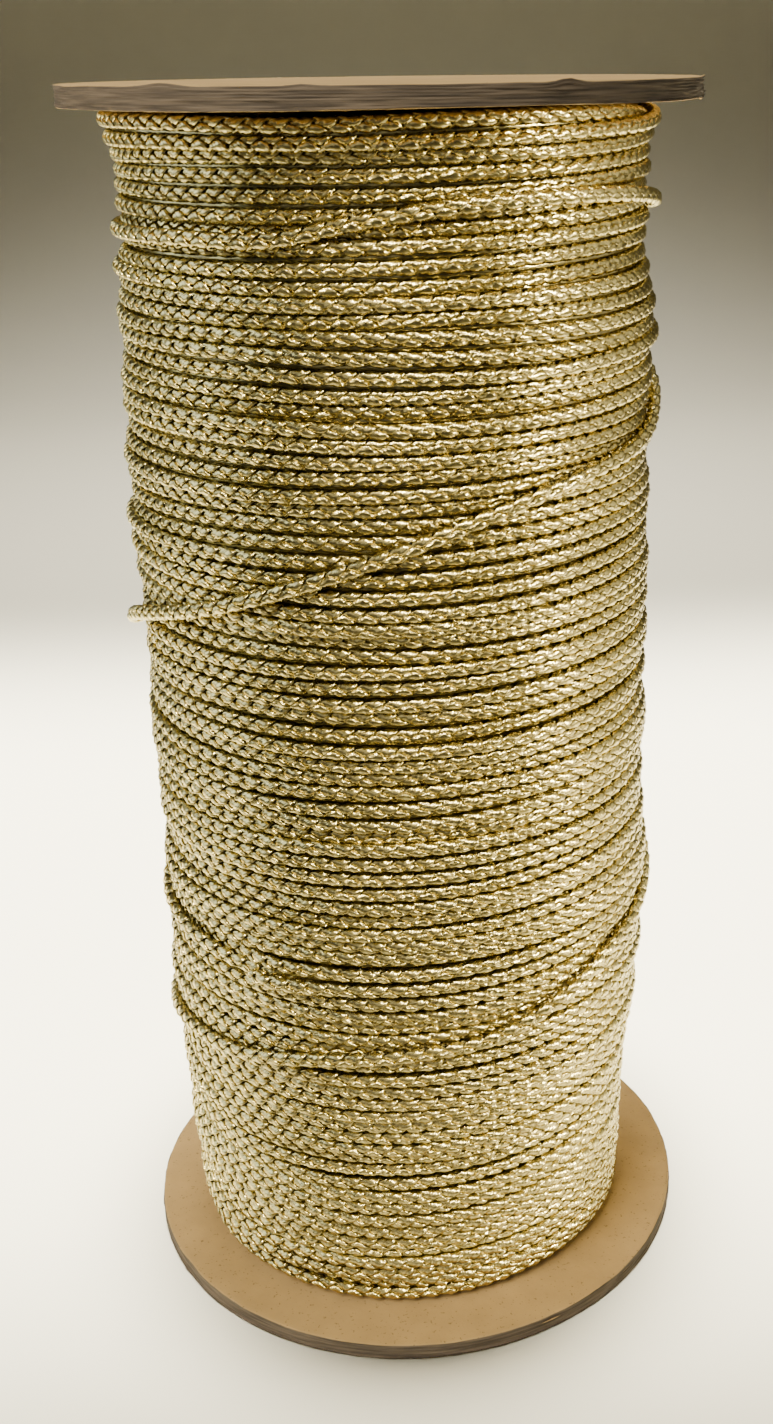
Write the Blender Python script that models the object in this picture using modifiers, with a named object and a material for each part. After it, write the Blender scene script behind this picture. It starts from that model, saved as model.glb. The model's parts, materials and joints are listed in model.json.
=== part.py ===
"""Spool of braided metallic cord: two die-cut chipboard flanges and the cord wound full between them.

Units are metres, +Z is up, and the origin is the centre of the face that the spool stands on.
Angles go round the spool from its front, which faces -Y, towards +X.
"""

import math

import bmesh
import bpy
import numpy as np

# Driving sizes
FLANGE_DIAMETER = 0.1016
FLANGE_THICKNESS = 0.0029
SPOOL_HEIGHT = 0.2098
CORD_WIDTH = 0.0026
SEAT_GAP = 0.0003

# Worked out from them
FLANGE_RADIUS = FLANGE_DIAMETER / 2
WINDING_FOOT = FLANGE_THICKNESS + SEAT_GAP
WINDING_HEAD = SPOOL_HEIGHT - FLANGE_THICKNESS - SEAT_GAP
WINDING_LENGTH = WINDING_HEAD - WINDING_FOOT

# How finely the round pieces are faceted, and the angles over which an edge reads as sharp
FLANGE_SEGMENTS = 96
WINDING_SEGMENTS = 64
WINDING_RINGS = 40
WRAP_POINTS_PER_TURN = 80
WRAP_BEVEL_RESOLUTION = 2
WELD_DISTANCE = 0.00001
FLANGE_SHARP_DEG = 40.0
WINDING_SHARP_DEG = 50.0

# Flange rims
RIM_ROUNDING = 0.0003
RIM_ROUNDING_STEPS = 2
RIM_PLIES = 3
RIM_BAND = 0.0040

# Edge damage: where it is round the rim, how wide it is, how deep the board is pressed in, how far it is
# pressed down, and how much of the board's thickness it takes, counted down from the upper edge
DAMAGE_COLUMNS = ("angle_deg", "half_width_deg", "inward", "downward", "from_top", "to_top")
TOP_FLANGE_DAMAGE = (
    (84.0, 9.0, 0.0002, 0.0003, 0.7, 1.0),
    (-80.0, 14.0, 0.0, 0.0003, 0.7, 1.0),
)
BASE_FLANGE_DAMAGE = (
    (26.0, 3.0, 0.0004, 0.0003, 0.0, 0.4),
    (148.0, 5.0, 0.0005, 0.0003, 0.0, 0.5),
)

# Reach of the wound cord up the spool, and how far its middle stands off the spool's axis along X
PROFILE_COLUMNS = ("height", "reach", "offset")
WINDING_PROFILE = (
    (0.0032, 0.0409, -0.0008),
    (0.0120, 0.0414, -0.0010),
    (0.0240, 0.0423, -0.0012),
    (0.0350, 0.0425, -0.0012),
    (0.0450, 0.0438, -0.0010),
    (0.0560, 0.0440, -0.0004),
    (0.0660, 0.0442, -0.0003),
    (0.0760, 0.0444, 0.0000),
    (0.0880, 0.0440, -0.0004),
    (0.1000, 0.0443, -0.0004),
    (0.1120, 0.0441, -0.0004),
    (0.1260, 0.0442, -0.0006),
    (0.1400, 0.0444, -0.0006),
    (0.1540, 0.0443, -0.0005),
    (0.1670, 0.0441, -0.0004),
    (0.1740, 0.0442, -0.0003),
    (0.1810, 0.0432, -0.0001),
    (0.1900, 0.0429, -0.0004),
    (0.1980, 0.0430, -0.0004),
    (0.2030, 0.0440, -0.0009),
    (0.2066, 0.0446, -0.0011),
)
REACH_TO_FORM = 0.0004
END_ROUNDING = 0.0011

# Low swells and hollows of an unevenly filled spool
SWELL_COLUMNS = ("height_of_swell", "waves_round", "waves_up", "start_deg")
SWELLS = (
    (0.00022, 1, 5.0, 20.0),
    (0.00018, 2, 9.0, 140.0),
    (0.00014, 3, 14.0, 250.0),
    (0.00012, 2, 17.0, 75.0),
)

# Crossing wraps: turns that were led over the level ones. "lift" is how far the middle of the cord
# stands outside the wound form, so a wrap sinks in among the other turns where its lift is negative.
WRAP_COLUMNS = ("angle_deg", "height", "lift")
CROSSING_WRAPS = {
    "upper": (
        (-190, 0.1890, -0.0030),
        (-165, 0.1884, -0.0012),
        (-130, 0.1880, -0.0006),
        (-100, 0.1882, -0.0003),
        (-70, 0.1886, 0.0000),
        (-45, 0.1890, 0.0003),
        (-20, 0.1894, 0.0004),
        (-5, 0.1917, 0.0005),
        (10, 0.1932, 0.0004),
        (30, 0.1941, 0.0003),
        (50, 0.1938, 0.0004),
        (70, 0.1926, 0.0008),
        (84, 0.1912, 0.0012),
        (105, 0.1896, 0.0006),
        (130, 0.1886, 0.0000),
        (160, 0.1880, -0.0008),
        (185, 0.1876, -0.0030),
    ),
    "middle": (
        (-175, 0.1158, -0.0030),
        (-155, 0.1162, -0.0008),
        (-130, 0.1170, 0.0002),
        (-108, 0.1185, 0.0010),
        (-90, 0.1213, 0.0020),
        (-75, 0.1258, 0.0014),
        (-60, 0.1291, 0.0008),
        (-40, 0.1335, 0.0005),
        (-20, 0.1388, 0.0005),
        (0, 0.1443, 0.0005),
        (20, 0.1492, 0.0004),
        (40, 0.1527, 0.0004),
        (60, 0.1545, 0.0005),
        (75, 0.1564, 0.0007),
        (88, 0.1600, 0.0010),
        (102, 0.1640, 0.0006),
        (122, 0.1676, 0.0002),
        (146, 0.1698, -0.0006),
        (170, 0.1710, -0.0030),
    ),
    "lower": (
        (-170, 0.0444, -0.0030),
        (-148, 0.0448, -0.0008),
        (-122, 0.0458, -0.0002),
        (-98, 0.0474, 0.0002),
        (-78, 0.0494, 0.0005),
        (-60, 0.0514, 0.0005),
        (-40, 0.0530, 0.0004),
        (-20, 0.0560, 0.0004),
        (0, 0.0577, 0.0004),
        (20, 0.0592, 0.0004),
        (36, 0.0630, 0.0004),
        (50, 0.0660, 0.0004),
        (66, 0.0676, 0.0005),
        (80, 0.0698, 0.0006),
        (94, 0.0732, 0.0004),
        (112, 0.0762, 0.0001),
        (136, 0.0782, -0.0006),
        (160, 0.0794, -0.0030),
    ),
    "side": (
        (-160, 0.0736, -0.0030),
        (-138, 0.0734, -0.0007),
        (-114, 0.0730, 0.0000),
        (-92, 0.0724, 0.0002),
        (-74, 0.0716, 0.0004),
        (-56, 0.0708, 0.0003),
        (-38, 0.0700, 0.0001),
        (-16, 0.0692, -0.0008),
        (4, 0.0688, -0.0030),
    ),
}


def columns(rows, names):
    """The table's columns as arrays, by name."""
    return dict(zip(names, np.array(rows, float).T))


def new_collection(name):
    """A collection of the scene, for one kind of object."""
    collection = bpy.data.collections.new(name)
    bpy.context.scene.collection.children.link(collection)
    return collection


def new_material(name, colour, roughness, metallic):
    """A plain material of one colour."""
    material = bpy.data.materials.new(name)
    material.use_nodes = True
    shader = material.node_tree.nodes["Principled BSDF"]
    shader.inputs["Base Color"].default_value = (*colour, 1.0)
    shader.inputs["Roughness"].default_value = roughness
    shader.inputs["Metallic"].default_value = metallic
    return material


def new_object(name, mesh, collection, material):
    """A named piece with its own mesh and one material."""
    mesh.materials.clear()
    mesh.materials.append(material)
    piece = bpy.data.objects.new(name, mesh)
    collection.objects.link(piece)
    return piece


def make_smooth(piece, sharp_angle_deg):
    """Shades a piece smooth, but for the edges that are sharper than the angle."""
    piece.data.shade_smooth()
    piece.data.set_sharp_from_angle(angle=math.radians(sharp_angle_deg))


# Chipboard flanges
def press_in_damage(bm, rows):
    """Moves the rim's points inwards and down, by a bell curve of the angle round the rim."""
    damage = columns(rows, DAMAGE_COLUMNS)
    for vert in bm.verts:
        radius = math.hypot(vert.co.x, vert.co.y)
        if radius < FLANGE_RADIUS - RIM_BAND / 2:
            continue
        angle = math.degrees(math.atan2(vert.co.x, -vert.co.y))
        below_top = 0.5 - vert.co.z / FLANGE_THICKNESS
        away = (angle - damage["angle_deg"] + 180.0) % 360.0 - 180.0
        bell = np.exp(-(away / damage["half_width_deg"]) ** 2)
        hit = (below_top >= damage["from_top"] - 0.01) & (below_top <= damage["to_top"] + 0.01)
        inward = float((bell * hit * damage["inward"]).sum())
        vert.co.x *= 1.0 - inward / radius
        vert.co.y *= 1.0 - inward / radius
        vert.co.z -= float((bell * hit * damage["downward"]).sum())


def make_flange(name, foot_height, damage_rows, collection, material):
    """A disc of board with its rim in plies, and its edges rounded where the die crushed them."""
    bm = bmesh.new()
    bmesh.ops.create_cone(
        bm,
        cap_ends=True,
        segments=FLANGE_SEGMENTS,
        radius1=FLANGE_RADIUS,
        radius2=FLANGE_RADIUS,
        depth=FLANGE_THICKNESS,
    )
    caps = [face for face in bm.faces if abs(face.normal.z) > 0.9]
    bmesh.ops.inset_individual(bm, faces=caps, thickness=RIM_BAND)
    for ring in range(1, RIM_PLIES):
        height = FLANGE_THICKNESS * (ring / RIM_PLIES - 0.5)
        bmesh.ops.bisect_plane(
            bm,
            geom=bm.verts[:] + bm.edges[:] + bm.faces[:],
            plane_co=(0.0, 0.0, height),
            plane_no=(0.0, 0.0, 1.0),
        )
    press_in_damage(bm, damage_rows)
    mesh = bpy.data.meshes.new(name)
    bm.to_mesh(mesh)
    bm.free()
    flange = new_object(name, mesh, collection, material)
    flange.location = (0.0, 0.0, foot_height + FLANGE_THICKNESS / 2)
    make_smooth(flange, FLANGE_SHARP_DEG)
    rounding = flange.modifiers.new("rounded rim", "BEVEL")
    rounding.width = RIM_ROUNDING
    rounding.segments = RIM_ROUNDING_STEPS
    rounding.limit_method = "ANGLE"
    rounding.angle_limit = math.radians(FLANGE_SHARP_DEG)
    return flange


# Wound cord
def winding_reach(angle, height):
    """Radius of the wound form at an angle and a height: the profile, less a little, plus the swells."""
    profile = columns(WINDING_PROFILE, PROFILE_COLUMNS)
    swell = columns(SWELLS, SWELL_COLUMNS)
    radius = np.interp(height, profile["height"], profile["reach"]) - REACH_TO_FORM
    share = (height - WINDING_FOOT) / WINDING_LENGTH
    for size, waves, rise, start in zip(*swell.values()):
        phase = waves * angle + 2 * np.pi * rise * share + np.radians(start)
        radius = radius + size * np.sin(phase)
    return radius


def winding_offset(height):
    """How far the wound form's middle stands off the spool's axis along X."""
    profile = columns(WINDING_PROFILE, PROFILE_COLUMNS)
    return np.interp(height, profile["height"], profile["offset"])


def at(angle, radius, height):
    """Points at an angle round the wound form's own middle, at a radius and a height."""
    x = radius * np.sin(angle) + winding_offset(height)
    y = -radius * np.cos(angle)
    return np.stack([x, y, height + 0 * x], axis=-1)


def make_wound_form(name, collection, material):
    """A loft of uneven rings from the foot to the head, with its two ends rounded and closed flat."""
    inner = np.linspace(WINDING_FOOT + END_ROUNDING, WINDING_HEAD - END_ROUNDING, WINDING_RINGS)
    heights = np.concatenate([[WINDING_FOOT], inner, [WINDING_HEAD]])
    angles = np.arange(WINDING_SEGMENTS) * 2 * np.pi / WINDING_SEGMENTS
    angle, height = np.meshgrid(angles, heights)
    radius = winding_reach(angle, height)
    radius[[0, -1]] -= END_ROUNDING
    rings = at(angle, radius, height).reshape(-1, 3)

    bm = bmesh.new()
    verts = [bm.verts.new(point) for point in rings]
    count = WINDING_SEGMENTS
    for row in range(len(heights) - 1):
        for side in range(count):
            after = (side + 1) % count
            low, high = row * count, (row + 1) * count
            corners = (low + side, low + after, high + after, high + side)
            bm.faces.new([verts[index] for index in corners])
    bm.faces.new(verts[:count][::-1])
    bm.faces.new(verts[-count:])
    bmesh.ops.recalc_face_normals(bm, faces=bm.faces)
    mesh = bpy.data.meshes.new(name)
    bm.to_mesh(mesh)
    bm.free()
    return new_object(name, mesh, collection, material)


def smooth_through(known, values, wanted):
    """A smooth curve through the known values, with its slopes from their neighbours."""
    slopes = np.gradient(values, known)
    step = np.clip(np.searchsorted(known, wanted) - 1, 0, len(known) - 2)
    span = known[step + 1] - known[step]
    share = (wanted - known[step]) / span
    start, end = values[step], values[step + 1]
    lean_in, lean_out = slopes[step] * span, slopes[step + 1] * span
    return (
        start * (1 + 2 * share) * (1 - share) ** 2
        + lean_in * share * (1 - share) ** 2
        + end * share**2 * (3 - 2 * share)
        + lean_out * share**2 * (share - 1)
    )


def wrap_route(rows):
    """Points along a crossing wrap, on a smooth curve through the rows of its table."""
    table = columns(rows, WRAP_COLUMNS)
    first, last = table["angle_deg"][[0, -1]]
    count = int(WRAP_POINTS_PER_TURN * (last - first) / 360.0)
    wanted = np.linspace(first, last, count)
    height = smooth_through(table["angle_deg"], table["height"], wanted)
    lift = smooth_through(table["angle_deg"], table["lift"], wanted)
    angle = np.radians(wanted)
    return at(angle, winding_reach(angle, height) + lift, height)


def make_wrap(name, rows, collection):
    """A round cord along its route, made a closed mesh so that it can be joined to the wound form."""
    curve = bpy.data.curves.new(name, "CURVE")
    curve.dimensions = "3D"
    curve.bevel_depth = CORD_WIDTH / 2
    curve.bevel_resolution = WRAP_BEVEL_RESOLUTION
    curve.use_fill_caps = True
    route = wrap_route(rows)
    spline = curve.splines.new("POLY")
    spline.points.add(len(route) - 1)
    for point, place in zip(spline.points, route):
        point.co = (*place, 1.0)
    guide = bpy.data.objects.new(name + " guide", curve)
    collection.objects.link(guide)
    bpy.context.view_layer.update()
    evaluated = guide.evaluated_get(bpy.context.evaluated_depsgraph_get())
    mesh = bpy.data.meshes.new_from_object(evaluated)
    bm = bmesh.new()
    bm.from_mesh(mesh)
    bmesh.ops.remove_doubles(bm, verts=bm.verts, dist=WELD_DISTANCE)
    bmesh.ops.recalc_face_normals(bm, faces=bm.faces)
    bm.to_mesh(mesh)
    bm.free()
    wrap = bpy.data.objects.new(name, mesh)
    wrap.matrix_world = guide.matrix_world
    collection.objects.link(wrap)
    bpy.data.objects.remove(guide)
    wrap.hide_render = True
    wrap.display_type = "WIRE"
    return wrap


def make_winding(name, collection, helpers, material):
    """The wound form with its crossing wraps joined on, as one solid."""
    winding = make_wound_form(name, collection, material)
    for wrap_name, rows in CROSSING_WRAPS.items():
        wrap = make_wrap(wrap_name + " wrap", rows, helpers)
        join = winding.modifiers.new(wrap_name + " wrap", "BOOLEAN")
        join.operation = "UNION"
        join.solver = "EXACT"
        join.object = wrap
    make_smooth(winding, WINDING_SHARP_DEG)
    return winding


def main():
    """Builds the spool's three pieces."""
    for old in list(bpy.data.objects):
        bpy.data.objects.remove(old)
    parts = new_collection("metallic cord spool")
    helpers = new_collection("helpers")
    helpers.hide_render = True
    chipboard = new_material("tan chipboard", (0.48, 0.33, 0.18), 0.9, 0.0)
    metallic_cord = new_material("gold metallic cord", (0.80, 0.64, 0.30), 0.35, 0.9)

    make_flange("base_flange", 0.0, BASE_FLANGE_DAMAGE, parts, chipboard)
    make_winding("cord_winding", parts, helpers, metallic_cord)
    top_foot = SPOOL_HEIGHT - FLANGE_THICKNESS
    make_flange("top_flange", top_foot, TOP_FLANGE_DAMAGE, parts, chipboard)


main()
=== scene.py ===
"""Dresses a spool of metallic cord: four-strand braid wound full between two die-cut chipboard flanges.

Shape functions work in millimetres and degrees, as their tables do, and meshes are written in metres.
Angles go round the spool from its front, which faces -Y, towards +X. Heights start under the spool.
"""

import json
import math

import bpy
import numpy as np
from bpy.props import FloatProperty, FloatVectorProperty, PointerProperty
from mathutils import Matrix, Vector

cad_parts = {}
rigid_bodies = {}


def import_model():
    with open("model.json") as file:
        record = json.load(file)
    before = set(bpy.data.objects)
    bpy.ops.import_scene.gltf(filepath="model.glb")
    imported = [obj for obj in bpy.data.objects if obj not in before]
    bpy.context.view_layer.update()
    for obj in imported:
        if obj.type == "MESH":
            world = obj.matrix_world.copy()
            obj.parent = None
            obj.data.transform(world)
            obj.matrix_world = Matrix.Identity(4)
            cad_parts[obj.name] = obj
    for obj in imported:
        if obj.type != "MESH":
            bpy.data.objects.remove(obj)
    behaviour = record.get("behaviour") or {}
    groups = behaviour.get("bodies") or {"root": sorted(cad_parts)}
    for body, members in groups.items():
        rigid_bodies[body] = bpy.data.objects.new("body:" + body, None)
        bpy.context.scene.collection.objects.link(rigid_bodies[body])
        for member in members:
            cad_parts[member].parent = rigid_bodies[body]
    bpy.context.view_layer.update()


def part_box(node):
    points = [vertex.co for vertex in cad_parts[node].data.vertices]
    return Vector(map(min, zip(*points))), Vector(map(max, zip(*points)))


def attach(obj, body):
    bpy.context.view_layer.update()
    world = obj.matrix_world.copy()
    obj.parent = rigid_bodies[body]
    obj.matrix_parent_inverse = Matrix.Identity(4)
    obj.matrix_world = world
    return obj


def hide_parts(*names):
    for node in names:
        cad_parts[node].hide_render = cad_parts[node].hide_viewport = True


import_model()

bl_info = {
    "name": "Metallic cord spool",
    "version": (1, 0, 0),
    "blender": (4, 5, 0),
    "location": "View3D > Sidebar > Cord spool",
    "description": "Dresses a flanged spool with braided metallic cord",
    "category": "Object",
}

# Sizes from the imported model
MM = 0.001
BASE_LOW, BASE_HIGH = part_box("base_flange")
TOP_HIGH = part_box("top_flange")[1]
WINDING_LOW, WINDING_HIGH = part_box("cord_winding")
FLANGE_RADIUS = (BASE_HIGH[0] - BASE_LOW[0]) / 2 / MM
FLANGE_THICKNESS = (BASE_HIGH[2] - BASE_LOW[2]) / MM
WINDING_FOOT = WINDING_LOW[2] / MM
WINDING_HEAD = WINDING_HIGH[2] / MM
WINDING_LENGTH = WINDING_HEAD - WINDING_FOOT

# Reach of the wound cord up the spool, and how far its middle stands off the spool's axis along X
PROFILE_COLUMNS = ("height", "reach", "offset")
WINDING_PROFILE = (
    (3.2, 40.9, -0.8), (12.0, 41.4, -1.0), (24.0, 42.3, -1.2), (35.0, 42.5, -1.2), (45.0, 43.8, -1.0),
    (56.0, 44.0, -0.4), (66.0, 44.2, -0.3), (76.0, 44.4, 0.0), (88.0, 44.0, -0.4), (100.0, 44.3, -0.4),
    (112.0, 44.1, -0.4), (126.0, 44.2, -0.6), (140.0, 44.4, -0.6), (154.0, 44.3, -0.5), (167.0, 44.1, -0.4),
    (174.0, 44.2, -0.3), (181.0, 43.2, -0.1), (190.0, 42.9, -0.4), (198.0, 43.0, -0.4), (203.0, 44.0, -0.9),
    (206.6, 44.6, -1.1),
)

# Low swells and hollows of an unevenly filled spool
SWELL_COLUMNS = ("height_of_swell", "waves_round", "waves_up", "start_deg")
SWELLS = (
    (0.22, 1, 5, 20),
    (0.18, 2, 9, 140),
    (0.14, 3, 14, 250),
    (0.12, 2, 17, 75),
)

# Crossing wraps: "lift" is how far the middle of the cord stands outside the wound form
WRAP_COLUMNS = ("angle_deg", "height", "lift")
CROSSING_WRAPS = {
    "upper": (
        (-190, 189.0, -3.0), (-165, 188.4, -1.2), (-130, 188.0, -0.6), (-100, 188.2, -0.3),
        (-70, 188.6, 0.0), (-45, 189.0, 0.3), (-20, 189.4, 0.4), (-5, 191.7, 0.5), (10, 193.2, 0.4),
        (30, 194.1, 0.3), (50, 193.8, 0.4), (70, 192.6, 0.8), (84, 191.2, 1.2), (105, 189.6, 0.6),
        (130, 188.6, 0.0), (160, 188.0, -0.8), (185, 187.6, -3.0),
    ),
    "middle": (
        (-175, 115.8, -3.0), (-155, 116.2, -0.8), (-130, 117.0, 0.2), (-108, 118.5, 1.0), (-90, 121.3, 2.0),
        (-75, 125.8, 1.4), (-60, 129.1, 0.8), (-40, 133.5, 0.5), (-20, 138.8, 0.5), (0, 144.3, 0.5),
        (20, 149.2, 0.4), (40, 152.7, 0.4), (60, 154.5, 0.5), (75, 156.4, 0.7), (88, 160.0, 1.0),
        (102, 164.0, 0.6), (122, 167.6, 0.2), (146, 169.8, -0.6), (170, 171.0, -3.0),
    ),
    "lower": (
        (-170, 44.4, -3.0), (-148, 44.8, -0.8), (-122, 45.8, -0.2), (-98, 47.4, 0.2), (-78, 49.4, 0.5),
        (-60, 51.4, 0.6), (-40, 53.0, 0.6), (-20, 56.0, 0.7), (0, 57.7, 0.8), (20, 59.2, 0.8),
        (36, 63.0, 0.8), (50, 66.0, 0.8), (66, 67.6, 0.8), (80, 69.8, 0.8), (94, 73.2, 0.5),
        (112, 76.2, 0.1), (136, 78.2, -0.6), (160, 79.4, -3.0),
    ),
    "side": (
        (-160, 73.6, -3.0), (-138, 73.4, -0.7), (-114, 73.0, 0.0), (-92, 72.4, 0.2), (-74, 71.6, 0.4),
        (-56, 70.8, 0.2), (-38, 70.0, -0.5), (-16, 69.2, -2.4), (4, 68.8, -4.0),
    ),
}

# How far the wound form, and the middle of a level turn as it is laid, lie inside the reach
REACH_TO_FORM = 0.4
REACH_TO_MIDDLE = 1.25

# How the level turns are laid: their number, the turns that lie level at each end, the steps that they
# are settled in and read in, and the bands that they are cut into
LEVEL_TURNS = 81
END_TURNS = 0.6
STEPS_PER_TURN = 72
COURSE_STEPS_PER_TURN = 288
LEVEL_BANDS = 6
LAYING_SEED = 11
ROLL_SEED = 12
WRAP_SEED = 31

# Noise of the laid turns: how far each strays in height and reach, and the waves in which they stray
# together, with their least and greatest numbers round and up the spool
HEIGHT_WANDER = 0.9
HEIGHT_KNOTS_PER_TURN = 4.3
REACH_WANDER = 0.35
REACH_KNOTS_PER_TURN = 3.1
DRIFT_WAVES = 14
DRIFT_SIZE = 0.25
DRIFT_WAVES_ROUND = (-4, 4)
DRIFT_WAVES_UP = (8, 22)

# How the turns settle. The widths are shares of the cord's width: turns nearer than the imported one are
# pushed apart, and turns further off than the loose one are drawn together
SETTLING_ROUNDS = 140
PACKED_WIDTH = 0.9
LOOSE_WIDTH = 1.02
PUSH_SHARE = 0.6
WRAP_PUSH_SHARE = 0.5
WRAP_PUSH_OUT = 2.0
WRAP_PUSH_UP = 0.6
REACH_RETURN = 0.05
HEIGHT_RETURN = 0.03
EVENING = 0.1

# Turns of the layer beneath, which show in the gaps: how far they lie under the level turns, their radius
# as a share of the cord's width, their sides, and the share of the film's colour that they keep, a painted
# shade in the gaps
UNDER_TURN_DEPTH = 1.7
UNDER_TURN_RADIUS = 0.55
UNDER_TURN_SIDES = 5
UNDER_TURN_PAINTED_SHADE = 0.5

# A leaf is the stretch where a strand passes over another. Strands are sampled at these shares of a stitch
# from each leaf's middle: at most places where it is seen, and at fewest where it is hidden. It counts as
# seen or hidden by the cosine of its angle from the view, which is this far above straight out
LEAF_STEPS = (-0.22, -0.02, 0.16, 0.3, 0.42)
SIDE_LEAF_STEPS = (-0.15, 0.15, 0.38)
HIDDEN_LEAF_STEPS = (0.1,)
SEEN_FROM_DEG = 20.0
SIDE_LEAF_LIMIT = 0.5

# How the braid is rolled about the cord, and how that strays, with the millimetres from knot to knot
ROLL_DEG = -127.0
ROLL_WANDER_DEG = 12.0
ROLL_KNOT_SPACING = 75.0
ROLL_SAMPLES_PER_KNOT = 8
WRAP_ROLL_SAMPLES = 40

# Direction and start of each strand, and its section: points across and outwards, as shares of the
# strand's half width and half thickness
STRAND_PHASES_DEG = ((1, 0.0), (1, 180.0), (-1, 0.0), (-1, 180.0))
STRAND_SECTION = ((-1.0, -0.9), (-0.62, 0.75), (0.0, 1.0), (0.62, 0.75), (1.0, -0.9))

# Sizes of a strand in millimetres: its distance from the cord's middle, how far it rises and sinks, and
# its half width and half thickness
STRAND_ORBIT = 1.05
STRAND_HUMP = 0.14
STRAND_HALF_WIDTH = 0.95
STRAND_HALF_THICKNESS = 0.095

# How flat and how skewed a leaf's crest is, how much wider and straighter the strand is there, and how
# much the level turns and the wraps are stretched upwards and outwards
STRAND_PLATEAU = 1.0
STRAND_SKEW = 0.8
STRAND_FLARE = 0.35
STRAND_STRAIGHTENING = 0.6
LEVEL_STRETCH = (0.98, 1.0)
WRAP_STRETCH = (1.04, 1.04)

# The film: its fine lines, how far their roughness strays, and its tint at a slant and its coat
FILM_LINES_NOISE = {"Scale": 1.0, "Detail": 2.0}
FILM_LINES_RANGE = {"From_Min": 0.3, "From_Max": 0.7}
FILM_BUMP = {"Strength": 0.8, "Distance": 0.00008}
ROUGHNESS_SPREAD = 0.06
FILM_FINISH = {
    "Metallic": 1.0,
    "Specular Tint": (0.90, 0.85, 0.64, 1.0),
    "Coat Weight": 0.4,
    "Coat Roughness": 0.1,
}

# The board: clouds, specks and fibres of its faces, plies of its cut edge, the shares that its colours are
# darkened and paled by, and how level it is where the face gives way to the edge
CLOUD_NOISE = {"Scale": 140.0, "Detail": 8.0}
CLOUD_SHADES = (0.74, 1.24)
SPECK_NOISE = {"Scale": 1900.0, "Detail": 1.0}
SPECK_RANGE = {"From_Min": 0.67, "From_Max": 0.74}
SPECK_SHADE = 0.55
PLY_STRETCH = (1.0, 1.0, 24.0)
PLY_NOISE = {"Scale": 110.0, "Detail": 3.0}
PLY_RANGE = {"From_Min": 0.35, "From_Max": 0.65}
PLY_SHADES = (0.55, 1.25)
EDGE_RANGE = {"From_Min": 0.85, "From_Max": 0.6}
FIBRE_NOISE = {"Scale": 900.0, "Detail": 4.0}
FIBRE_BUMP = {"Strength": 0.5, "Distance": 0.0001}
BOARD_ROUGHNESS = 0.9

# Edge damage: where it is round the rim, how wide it is, how deep the board is pressed in, how far it is
# lifted, how rough it is frayed, and how much of the board's thickness it takes, from the upper edge down
DAMAGE_COLUMNS = ("angle_deg", "half_width_deg", "inward", "lifted", "frayed", "from_top", "to_top")
TOP_FLANGE_DAMAGE = (
    (-36, 4, 0.1, 0.5, 0, 0, 0.3),
    (-12, 2, 0, 0.25, 0, 0, 0.2),
    (29.5, 2.2, 0.1, 0.45, 0, 0, 0.3),
    (84, 9, 0.15, 0, 0.12, 0, 1),
    (78, 3, 0, -0.35, 0.1, 0.6, 1),
    (55, 24, 0, -0.3, 0.05, 0.75, 1),
    (-35, 45, 0, -0.45, 0.04, 0.75, 1),
    (-80, 14, 0, -0.3, 0.06, 0.8, 1),
)
BASE_FLANGE_DAMAGE = (
    (27, 1.6, 0.35, -0.35, 0.05, 0, 0.35),
    (-60, 5, 0.1, 0, 0.05, 0, 1),
    (148, 5, 0.5, -0.2, 0.1, 0, 0.5),
)

# How the boards are cut: points round them, rings over a face as shares of its radius, and the plies of
# the rim, with the waves of their grooves. Depths on the rim are in millimetres
FLANGE_SEGMENTS = 240
FACE_RINGS = (0.3, 0.6, 0.8, 0.88, 0.92, 0.95, 0.972, 0.986)
PLIES = 7
ROWS_PER_PLY = 3
PLY_GROOVE = 0.14
PLY_WAVES = (3, 5, 8, 13, 21)
PLY_WAVE_SIZES = (0.3, 1.0)
PLY_WAVE_STARTS = (0, 6.28)
PLY_WAVE_SHARE = 0.05
RIM_FIBRE = 0.03
RIM_ROUNDING = 0.12
RIM_ROUNDED_SHARE = 0.08
BOARD_SEEDS = {"base": 3, "top": 4}

# Damage lifts the board outside this share of its radius, frays its height by this share of what it frays
# its rim, and takes rows this far past its depth
LIFTED_FROM = 0.93
HEIGHT_FRAY = 0.6
DEPTH_MARGIN = 0.01

# Floor and background, in metres: the floor bends up behind the spool into a backdrop
FLOOR_REACH = 6.0
SWEEP_START = 0.75
SWEEP_RADIUS = 0.5
SWEEP_ROWS = 13
BACKDROP_TOP = 3.0
FLOOR_ROUGHNESS = 0.75
WORLD_COLOUR = (0.55, 0.55, 0.56)
WORLD_STRENGTH = 0.06

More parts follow.
